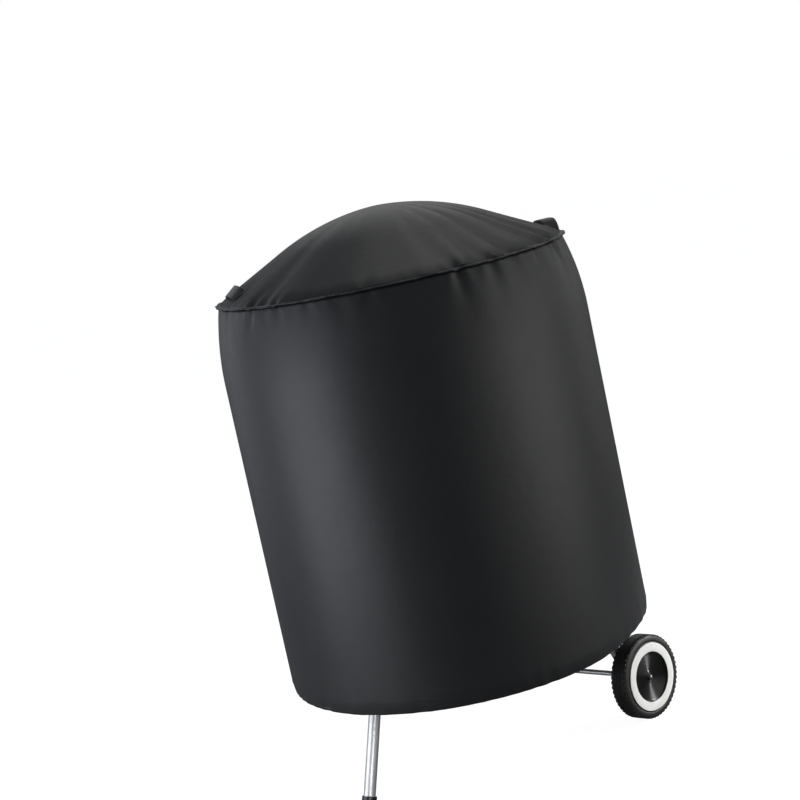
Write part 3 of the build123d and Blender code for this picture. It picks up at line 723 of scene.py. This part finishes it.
across = outline_normal(dome_rows)
drop = dome_drop(around, dome_run[1:])
dome_radius = dome_rows[1:, :1] - drop * across[1:, :1]
dome_height = dome_rows[1:, 1:] - drop * across[1:, 1:]
dome_points = round_about_z(dome_radius, dome_height, around)
dome_flat = np.stack([dome_run[1:] * np.cos(around_closed), dome_run[1:] * np.sin(around_closed)], axis=-1)
dome_mesh = grid_mesh("top_panel_cloth", dome_points, dome_flat)


def close_pole(mesh, first, count, point, flip=False):
    """Fans triangles from one point to a ring of vertices, and gives them a map."""
    edit = bmesh.new()
    edit.from_mesh(mesh)
    edit.verts.ensure_lookup_table()
    ring = [edit.verts[first + k] for k in range(count)]
    tip = edit.verts.new(point)
    layer = edit.loops.layers.uv["cloth"]
    for k in range(count):
        corners = (tip, ring[k], ring[(k + 1) % count])
        face = edit.faces.new(corners[::-1] if flip else corners)
        face.smooth = True
        for loop in face.loops:
            loop[layer].uv = loop.vert.co.xy
    edit.to_mesh(mesh)
    edit.free()


close_pole(dome_mesh, 0, columns, (0, 0, apex))
top_panel = new_piece("top_panel_cloth", dome_mesh, "top_panel", ["top_panel"])
thicken = top_panel.modifiers.new("cloth thickness", "SOLIDIFY")
thicken.thickness = cloth_thickness
print(f"top panel: {dome_length:.3f} m from crown to seam, faces {len(dome_mesh.polygons)}")

# %% [markdown]
# ## The sewn seam
# The raw edges of both panels are folded together and stand out as a lip. The lip is thick and
# stiff, so it scallops where the cloth gathers: its edge dips and swings between the puckers.
# It is a closed ring whose section is a rounded strip, swept round and moved by the gathers.

# %% Seam lip
lip_columns = 900
lip_around = np.linspace(0, tau, lip_columns, endpoint=False)[None, :]
lip_closed = np.linspace(0, tau, lip_columns + 1)[None, :]
lip_half = 1.3 * millimetre


def lip_section():
    """Radius and height about the seam, once round the strip: underside, outer edge, top, inner edge."""
    outer, inner = lip_radius, seam_radius - 3.5 * millimetre
    bend = np.linspace(-pi / 2, pi / 2, 7)
    edge = np.stack([outer - lip_half + lip_half * np.cos(bend), lip_half * np.sin(bend)], axis=-1)
    back = np.stack([inner + 0 * bend[::3], lip_half * np.sin(bend[::-3])], axis=-1)
    middle = np.array([[seam_radius, -lip_half], [seam_radius + 3.5 * millimetre, -lip_half * 0.75]])
    return np.vstack([middle, edge, middle[::-1] * [1, -1], back])


def lip_swing(angle):
    """How the lip's edge moves in and up or down as it goes round."""
    pinch = valleys(seam_gathers, angle, np.zeros_like(angle))
    folds = valleys(crown_folds, angle, np.zeros_like(angle))
    wave = 0.5 * np.cos(23 * angle + 0.4) + 0.4 * np.cos(37 * angle + 2.1) + 0.3 * np.cos(11 * angle)
    return -0.55 * pinch - 0.1 * folds, wave * millimetre - 0.35 * pinch - 0.15 * folds


section = lip_section()
reach = np.clip((section[:, :1] - seam_radius) / (lip_radius - seam_radius), 0, 1)
inwards, upwards = lip_swing(lip_around)
lip_points = round_about_z(
    section[:, :1] + reach * inwards - (1 - reach) * 0.4 * millimetre,
    seam_height + section[:, 1:] + reach * upwards, lip_around,
)
lip_run = lengths_along(np.vstack([section, section[:1]]))[:, None]
lip_flat = np.stack(np.broadcast_arrays(lip_closed * seam_radius, lip_run), axis=-1)
lip_mesh = grid_mesh("seam_lip", lip_points, lip_flat, loop_rows=True)
seam_lip = new_piece("seam_lip", lip_mesh, "top_seam_binding", ["top_seam_binding"])
print("seam lip faces:", len(lip_mesh.polygons))

# %% [markdown]
# ## Stitches
# A row of lockstitches is one short dash of thread, repeated. Geometry Nodes suits that: it
# resamples a line to the stitch pitch, turns each dash along the line, and gives plain mesh at
# the end. Its inputs are the pitch, the dash's length and the thread's thickness.

# %% Stitch tree
def stitch_tree():
    tree = bpy.data.node_groups.new("row of stitches", "GeometryNodeTree")
    face = tree.interface
    face.new_socket("Geometry", in_out="INPUT", socket_type="NodeSocketGeometry")
    for name, value in (("Pitch", 0.0042), ("Length", 0.0033), ("Thickness", 0.0008)):
        face.new_socket(name, in_out="INPUT", socket_type="NodeSocketFloat").default_value = value
    face.new_socket("Geometry", in_out="OUTPUT", socket_type="NodeSocketGeometry")
    given = add(tree, "NodeGroupInput").outputs
    line = add(tree, "GeometryNodeMeshToCurve", {"Mesh": given["Geometry"]})
    places = add(
        tree, "GeometryNodeCurveToPoints", {"Curve": line.outputs[0], "Length": given["Pitch"]}, mode="LENGTH"
    )
    dash = add(tree, "GeometryNodeMeshUVSphere", {"Segments": 6, "Rings": 4, "Radius": 0.5})
    size = add(
        tree, "ShaderNodeCombineXYZ",
        {"X": given["Thickness"], "Y": given["Thickness"], "Z": given["Length"]},
    )
    shaped = add(tree, "GeometryNodeTransform", {"Geometry": dash.outputs["Mesh"], "Scale": size.outputs[0]})
    row = add(
        tree, "GeometryNodeInstanceOnPoints",
        {"Points": places.outputs["Points"], "Instance": shaped.outputs[0],
         "Rotation": places.outputs["Rotation"]},
    )
    whole = add(tree, "GeometryNodeRealizeInstances", {0: row.outputs[0]})
    finished = add(tree, "GeometryNodeSetMaterial", {"Geometry": whole.outputs[0], "Material": thread_finish})
    add(tree, "NodeGroupOutput", {0: finished.outputs[0]})
    return tree


def made_by_tree(name, mesh, tree, node, finish, **inputs):
    """Runs a tree on a mesh, keeps the result as a plain mesh, and throws the modifier away."""
    maker = bpy.data.objects.new(name + "_maker", mesh)
    bpy.context.scene.collection.objects.link(maker)
    modifier = maker.modifiers.new("tree", "NODES")
    modifier.node_group = tree
    for item in tree.interface.items_tree:
        if item.item_type == "SOCKET" and item.in_out == "INPUT" and item.name.replace(" ", "_") in inputs:
            modifier[item.identifier] = inputs[item.name.replace(" ", "_")]
    bpy.context.view_layer.update()
    result = bpy.data.meshes.new_from_object(maker.evaluated_get(bpy.context.evaluated_depsgraph_get()))
    bpy.data.objects.remove(maker)
    result.name = name
    return new_piece(name, result, node, finish=finish)


def closed_lines(name, rings):
    """A mesh of closed lines, one for each array of points."""
    mesh = bpy.data.meshes.new(name)
    points, edges = [], []
    for ring in rings:
        start, count = len(points), len(ring)
        points += [tuple(p) for p in ring]
        edges += [(start + k, start + (k + 1) % count) for k in range(count)]
    mesh.from_pydata(points, edges, [])
    return mesh


# %% Seam and hem stitches
stitches = stitch_tree()


def lip_stitch_line(side):
    """A line 3.6 mm in from the lip's edge, on its top (1) or its underside (-1)."""
    radius = seam_radius + (lip_radius - seam_radius) / 2 + inwards / 2
    height = seam_height + upwards / 2 + side * lip_half * 0.85
    return round_about_z(radius, height, lip_around)[0]


def hem_stitch_line(setback):
    """A line round the hem just below the tunnel's top, on the outside or the inside."""
    height = np.array([[hem_high[2] - 3.2 * millimetre]])
    radius = skirt_radius(height) + skirt_offset(lip_around, height) - setback
    return round_about_z(radius, height + hem_lift(lip_around), lip_around)[0]


lip_rows = closed_lines("lip_rows", [lip_stitch_line(1), lip_stitch_line(-1)])
lip_stitches = made_by_tree("seam_stitches", lip_rows, stitches, "top_seam_binding", thread_finish)
hem_rows = closed_lines("hem_rows", [hem_stitch_line(-0.1 * millimetre)])
hem_stitches = made_by_tree("hem_stitches", hem_rows, stitches, "hem_band", thread_finish)
print("stitch faces:", len(lip_stitches.data.polygons), len(hem_stitches.data.polygons))

# %% [markdown]
# ## Grab handles
# Two loops of webbing are caught in the top seam, one on each side. Each rises from the cloth,
# crosses and goes down again, with the bends a stiff strap makes. The rear one stands up and
# the front one lies back along the slope. A strap is a section swept along its path; points that
# would go inside the cover are lifted to its surface, where the sewing holds them.

# %% Grab handles
strap_width, strap_thickness, strap_span, strap_lean = 0.025, 0.0016, 0.070, 0.011


def rounded_path(corners, times=3):
    """Cuts the corners of an open path again and again until they are soft."""
    path = np.array(corners, float)
    for _ in range(times):
        near, far = 0.75 * path[:-1] + 0.25 * path[1:], 0.25 * path[:-1] + 0.75 * path[1:]
        path = np.vstack([path[:1], np.stack([near, far], axis=1).reshape(-1, 2), path[-1:]])
    return path


def dome_surface(radius):
    """Height of the cover's top at a radius; outside the seam, the top of the lip."""
    inside = np.interp(radius, dome_fine[:, 0], dome_fine[:, 1])
    return np.where(radius > seam_radius, seam_height + lip_half, inside)


def grab_handle(name, node, angle, tilt, inset, sag):
    """A strap inset from the seam, tilted from upright, whose top sags below its packed height."""
    half = strap_span / 2
    radius = sqrt((seam_radius - inset) ** 2 - half**2)
    outward = np.array([cos(angle), sin(angle), 0])
    sideways = np.array([-sin(angle), cos(angle), 0])
    rising = outward * sin(tilt) + np.array([0, 0, cos(tilt)])
    broad = np.cross(rising, sideways)
    base = float(dome_surface(radius))
    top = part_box(node)[1].z - sag - 0.5 * strap_width * sin(tilt)
    rise = (top - base) / cos(tilt) - 0.0012
    corners = [(-half - 0.001, -0.016), (-half, 0), (-half + strap_lean, rise), (0, rise + 0.0012),
               (half - strap_lean, rise), (half, 0), (half + 0.001, -0.016)]
    path = even(rounded_path(corners), 64)
    step = np.gradient(path, axis=0)
    step /= np.linalg.norm(step, axis=1, keepdims=True)
    outside = np.stack([-step[:, 1], step[:, 0]], axis=-1)
    root = outward * radius + np.array([0, 0, base])
    ring = [(-1, -1), (-0.94, -1.15), (0, -1.15), (0.94, -1.15), (1, -1), (1, 1), (0.94, 1.15), (0, 1.15),
            (-0.94, 1.15), (-1, 1)]
    points = []
    for wide, thick in ring:
        line = path + outside * thick * strap_thickness / 2.3
        points.append(root + line[:, :1] * sideways + line[:, 1:] * rising + wide * strap_width / 2 * broad)
    points = np.stack(points, axis=1)
    floor = dome_surface(np.hypot(points[..., 0], points[..., 1])) + 0.2 * millimetre
    floor = floor + 0.35 * millimetre * np.array([thick for _, thick in ring])
    points[..., 2] = np.maximum(points[..., 2], floor)
    girth = lengths_along(np.array(ring) * [strap_width / 2, strap_thickness / 2.3])
    run = np.append(girth, 2 * strap_width)
    flat = np.stack(np.broadcast_arrays(run[None, :], lengths_along(path)[:, None]), axis=-1)
    mesh = grid_mesh(name, points, flat, flip=True)
    close_and_face_out(mesh)
    return new_piece(name, mesh, node, [node])


rear_handle = grab_handle("grab_strap_rear", "grab_handle_rear", strap_angles[0], 0.0, 0.006, 0.006)
front_handle = grab_handle("grab_strap_front", "grab_handle_front", strap_angles[1], radians(38), 0.026, 0.008)
print("grab handle faces:", len(rear_handle.data.polygons))

# %% [markdown]
# ## Seam tape
# Where the side panel's two ends meet, at the back, a tape covers the seam inside. It shows
# when the cover is lifted off. It is a thin closed strip that follows the panel's inner face.

# %% Seam tape
tape_low, tape_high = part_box("side_seam_tape")


def seam_tape():
    """A closed strip 24 mm wide on the inner face of the side panel."""
    angles = pi / 2 + np.linspace(-0.012, 0.012, 9) / cover_radius
    heights = np.linspace(tape_low[2], tape_high[2], 60)[:, None]
    face = skirt_radius(heights) + skirt_offset(angles[None, :], heights) - cloth_thickness - 0.3 * millimetre
    inner = round_about_z(face - 1.0 * millimetre, heights, angles[None, ::-1])
    points = np.concatenate([round_about_z(face, heights, angles[None, :]), inner], axis=1)
    run = np.linspace(0, 0.05, points.shape[1] + 1)[None, :]
    flat = np.stack(np.broadcast_arrays(run, heights), axis=-1)
    mesh = grid_mesh("seam_tape", points, flat)
    close_and_face_out(mesh)
    return new_piece("seam_tape", mesh, "side_seam_tape", ["side_seam_tape"])


tape = seam_tape()
print("seam tape faces:", len(tape.data.polygons))

# %% [markdown]
# ## Wheels
# Each wheel is a moulded tyre with a white band pressed into its side, and a dished hub that a
# spring nut keeps on the axle. All of it is turned, so it is made as profiles swept round the
# axle. The tread's shoulder blocks are one small tapered block, set round the tyre by
# Geometry Nodes.

# %% Turned pieces
def soften(profile, radius_mm, steps=4):
    """Rounds the corners of a closed profile of (x, radius) points, each with a short curve."""
    points = np.array(profile, float)
    soft = []
    for k in range(len(points)):
        before, here, after = points[k - 1], points[k], points[(k + 1) % len(points)]
        reach = [min(radius_mm * millimetre, 0.45 * np.linalg.norm(p - here)) for p in (before, after)]
        start = here + (before - here) / np.linalg.norm(before - here) * reach[0]
        end = here + (after - here) / np.linalg.norm(after - here) * reach[1]
        for t in np.linspace(0, 1, steps):
            soft.append((1 - t) ** 2 * start + 2 * t * (1 - t) * here + t**2 * end)
    return np.array(soft)


def on_axle(x, radius, angle, side):
    """A point at a distance along the axle and out from it; side is 1 for the right wheel."""
    x, radius, angle = np.broadcast_arrays(x, radius, angle)
    behind, above = axle_y + radius * np.cos(angle), wheel_radius + radius * np.sin(angle)
    return np.stack([side * x, behind, above], axis=-1)


def turned(name, profile, node, side=1, count=120, replaces=True, finish=None):
    """A closed profile of (x, radius) in metres, swept once round the axle."""
    profile = np.array(profile)
    turn = np.linspace(0, tau, count, endpoint=False)[None, :]
    turn_closed = np.linspace(0, tau, count + 1)[None, :]
    points = on_axle(profile[:, :1], profile[:, 1:], turn, side)
    run = lengths_along(np.vstack([profile, profile[:1]]))[:, None]
    flat = np.stack(np.broadcast_arrays(turn_closed * profile[:, 1].max(), run), axis=-1)
    mesh = grid_mesh(name, points, flat, loop_rows=True)
    close_and_face_out(mesh)
    return new_piece(name, mesh, node, [node] if replaces else (), finish=finish)


# %% Profiles of tyre, band, hub and nut
inner_face, outer_face = tyre_low[0], tyre_high[0]
middle_plane = (inner_face + outer_face) / 2
half_width = (outer_face - inner_face) / 2
hub_radius = 48 * millimetre


def tyre_profile():
    """Half of the tyre from its middle outwards, with tread grooves and sidewall ribs, then mirrored."""
    rib = [(1.0, 0), (1.3, -1.7), (2.2, -1.7), (2.5, 0), (5.0, 0), (5.3, -1.6), (6.6, -1.6), (6.9, 0)]
    shoulder = [(10.6, 0), (11.2, -1.1), (14.8, -1.7), (16.9, -4.6)]
    wall = [(17.35, -9.0), (17.4, -11.5), (16.7, -12.1), (16.7, -13.2), (17.3, -13.8), (17.3, -27.6)]
    wall += [(17.0, -28.1)]
    half = np.array(rib + shoulder + wall) * millimetre + [0, wheel_radius]
    bore = np.array([[half_width, hub_radius + 0.05 * millimetre]])
    outer = np.vstack([half, bore])
    inner = outer[::-1] * [-1, 1]
    loop = np.vstack([inner, outer])
    return np.hstack([middle_plane + loop[:, :1], loop[:, 1:]])


def band_profile():
    low, high = outer_face + 0.02 * millimetre, band_high[0]
    inner, outer = 45.5 * millimetre, 61.5 * millimetre
    return soften([(low, inner), (high, inner), (high, outer), (low, outer)], 0.6)


def hub_profile():
    """The tube on the axle, the rim behind the face, and the dished face with its low boss."""
    back = [(-33.8, 4.9), (-33.8, 12), (-13.5, 12), (-11.5, 44.5), (-27.8, 44.5), (-27.8, 48), (0, 48)]
    dish = [(0.9, 46.6), (0.9, 44.6), (-3.2, 43.8), (-4.4, 41.5), (-5.8, 28), (-6.4, 14)]
    boss = [(-6.2, 11.5), (-5.4, 10), (-5.2, 8.4), (-5.2, 4.9)]
    return soften(np.array(back + dish + boss) * millimetre + [outer_face, 0], 0.8)


def nut_profile():
    """A spring cap on the axle's end: a flange, then a low dome with a hole in it."""
    low = axle_high[0] - 5.0 * millimetre
    rows = [(0, 3.16), (0, 7.4), (0.5, 7.4), (0.9, 5.6), (1.4, 4.6), (1.4, 3.16)]
    return soften(np.array(rows) * millimetre + [low, 0], 0.3)


print("hub face at", round(hub_high[0], 4), "axle ends at", round(axle_high[0], 4))


# %% Shoulder blocks
def block_tree():
    """Tapered blocks stood round a circle about the axle, first to last."""
    tree = bpy.data.node_groups.new("shoulder blocks", "GeometryNodeTree")
    face = tree.interface
    face.new_socket("Geometry", in_out="INPUT", socket_type="NodeSocketGeometry")
    for name, value in (("Broad", 0.0078), ("Tall", 0.005), ("Deep", 0.0056)):
        face.new_socket(name, in_out="INPUT", socket_type="NodeSocketFloat").default_value = value
    face.new_socket("Geometry", in_out="OUTPUT", socket_type="NodeSocketGeometry")
    given = add(tree, "NodeGroupInput").outputs
    outward = add(tree, "GeometryNodeInputNamedAttribute", {"Name": "outward"}, data_type="FLOAT_VECTOR")
    across = add(
        tree, "FunctionNodeAlignRotationToVector", {"Vector": outward.outputs[0]},
        axis="Z", pivot_axis="X",
    )
    block = add(
        tree, "GeometryNodeMeshCone",
        {"Vertices": 8, "Side Segments": 1, "Radius Top": 0.46, "Radius Bottom": 0.52, "Depth": 1.0},
    )
    size = add(tree, "ShaderNodeCombineXYZ", {"X": given["Deep"], "Y": given["Broad"], "Z": given["Tall"]})
    shaped = add(tree, "GeometryNodeTransform", {"Geometry": block.outputs["Mesh"], "Scale": size.outputs[0]})
    ring = add(
        tree, "GeometryNodeInstanceOnPoints",
        {"Points": given["Geometry"], "Instance": shaped.outputs[0], "Rotation": across.outputs[0]},
    )
    whole = add(tree, "GeometryNodeRealizeInstances", {0: ring.outputs[0]})
    finished = add(
        tree, "GeometryNodeSetMaterial",
        {"Geometry": whole.outputs[0], "Material": finishes["tyre_rubber"]},
    )
    add(tree, "NodeGroupOutput", {0: finished.outputs[0]})
    return tree


blocks = block_tree()
block_count = 52


def block_places(side):
    """Two rings of points at the shoulders, staggered, each with its outward direction."""
    turn = np.arange(block_count) * tau / block_count
    places, outwards = [], []
    for offset, phase in ((12.6, 0.0), (-12.6, 0.5)):
        angle = turn + phase * tau / block_count
        x = np.full(block_count, middle_plane + offset * millimetre)
        places.append(on_axle(x, np.full(block_count, wheel_radius - 5.1 * millimetre), angle, side))
        outwards.append(np.stack([0 * angle, np.cos(angle), np.sin(angle)], axis=-1))
    mesh = bpy.data.meshes.new("block_places")
    mesh.from_pydata(np.vstack(places).tolist(), [], [])
    outward = mesh.attributes.new("outward", "FLOAT_VECTOR", "POINT")
    outward.data.foreach_set("vector", np.vstack(outwards).reshape(-1))
    return mesh


def make_wheel(side, word):
    """Every piece of one wheel."""
    made = [
        turned(f"tyre_body_{word}", tyre_profile(), f"tyre_{word}", side, 180),
        turned(f"white_band_{word}", band_profile(), f"whitewall_{word}", side, 120),
        turned(f"hub_face_{word}", hub_profile(), f"hub_{word}", side, 140),
    ]
    rubber = finishes["tyre_rubber"]
    made.append(made_by_tree(f"tyre_blocks_{word}", block_places(side), blocks, f"tyre_{word}", rubber))
    made[-1].data.polygons.foreach_set("use_smooth", [False] * len(made[-1].data.polygons))
    return made


right_wheel, left_wheel = make_wheel(1, "right"), make_wheel(-1, "left")
print("wheel faces:", {piece.name: len(piece.data.polygons) for piece in right_wheel + left_wheel})

# %% Axle and nuts
def axle_profile():
    """The rod's outline from one end to the other, with turned-down, chamfered tips."""
    end = axle_high[0]
    rows = [(end - 0.007, 4.75), (end - 0.0068, 3.1), (end - 0.0008, 3.1), (end, 2.3)]
    right = np.array(rows) * [1, millimetre]
    return np.vstack([right[::-1] * [-1, 1], right])


def make_axle():
    """A rod closed by a fan of faces at each tip."""
    profile = axle_profile()
    count = 48
    turn = np.linspace(0, tau, count, endpoint=False)[None, :]
    turn_closed = np.linspace(0, tau, count + 1)[None, :]
    points = on_axle(profile[:, :1], profile[:, 1:], turn, 1)
    flat = np.stack(np.broadcast_arrays(turn_closed * 0.00475, lengths_along(profile)[:, None]), axis=-1)
    mesh = grid_mesh("axle_rod", points, flat)
    last = (len(profile) - 1) * count
    close_pole(mesh, 0, count, (-axle_high[0] - 0.0001, axle_y, wheel_radius))
    close_pole(mesh, last, count, (axle_high[0] + 0.0001, axle_y, wheel_radius), flip=True)
    edit = bmesh.new()
    edit.from_mesh(mesh)
    bmesh.ops.recalc_face_normals(edit, faces=edit.faces)
    for edge in edit.edges:
        edge.smooth = edge.calc_face_angle(0) < radians(30)
    edit.to_mesh(mesh)
    edit.free()
    return new_piece("axle_rod", mesh, "axle", ["axle"])


axle = make_axle()
turned("push_nut_right", nut_profile(), "push_nuts", 1, 48)
turned("push_nut_left", nut_profile(), "push_nuts", -1, 48)
print("axle faces:", len(axle.data.polygons))

# %% [markdown]
# ## Stand and kettle
# The legs, foot, grates, pan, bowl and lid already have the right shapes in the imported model.
# Their meshes come as loose triangles, which shade as facets. Each gets a copy whose doubled
# points are merged, whose curved faces shade smooth, and whose hard edges stay hard.

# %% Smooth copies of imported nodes
def smooth_copy(node, hard_degrees=32):
    """A merged copy of a node's mesh, in place of the node."""
    mesh = frame["nodes"][node].data.copy()
    mesh.name = node + "_skin"
    edit = bmesh.new()
    edit.from_mesh(mesh)
    bmesh.ops.remove_doubles(edit, verts=edit.verts, dist=2e-6)
    bmesh.ops.dissolve_degenerate(edit, edges=edit.edges, dist=1e-6)
    for edge in edit.edges:
        edge.smooth = len(edge.link_faces) == 2 and edge.calc_face_angle(0) < radians(hard_degrees)
    edit.to_mesh(mesh)
    edit.free()
    if "custom_normal" in mesh.attributes:
        mesh.attributes.remove(mesh.attributes["custom_normal"])
    if node == "hem_elastic":
        for vertex in mesh.vertices:
            vertex.co.z += float(hem_lift(atan2(vertex.co.y, vertex.co.x)))
    return new_piece(node + "_skin", mesh, node, [node])


replaced = {name for piece in bpy.data.objects for name in piece.get("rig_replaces", [])}
skins = [smooth_copy(node) for node in sorted(frame["nodes"]) if node not in replaced]
print("smooth copies:", len(skins), "faces:", sum(len(piece.data.polygons) for piece in skins))
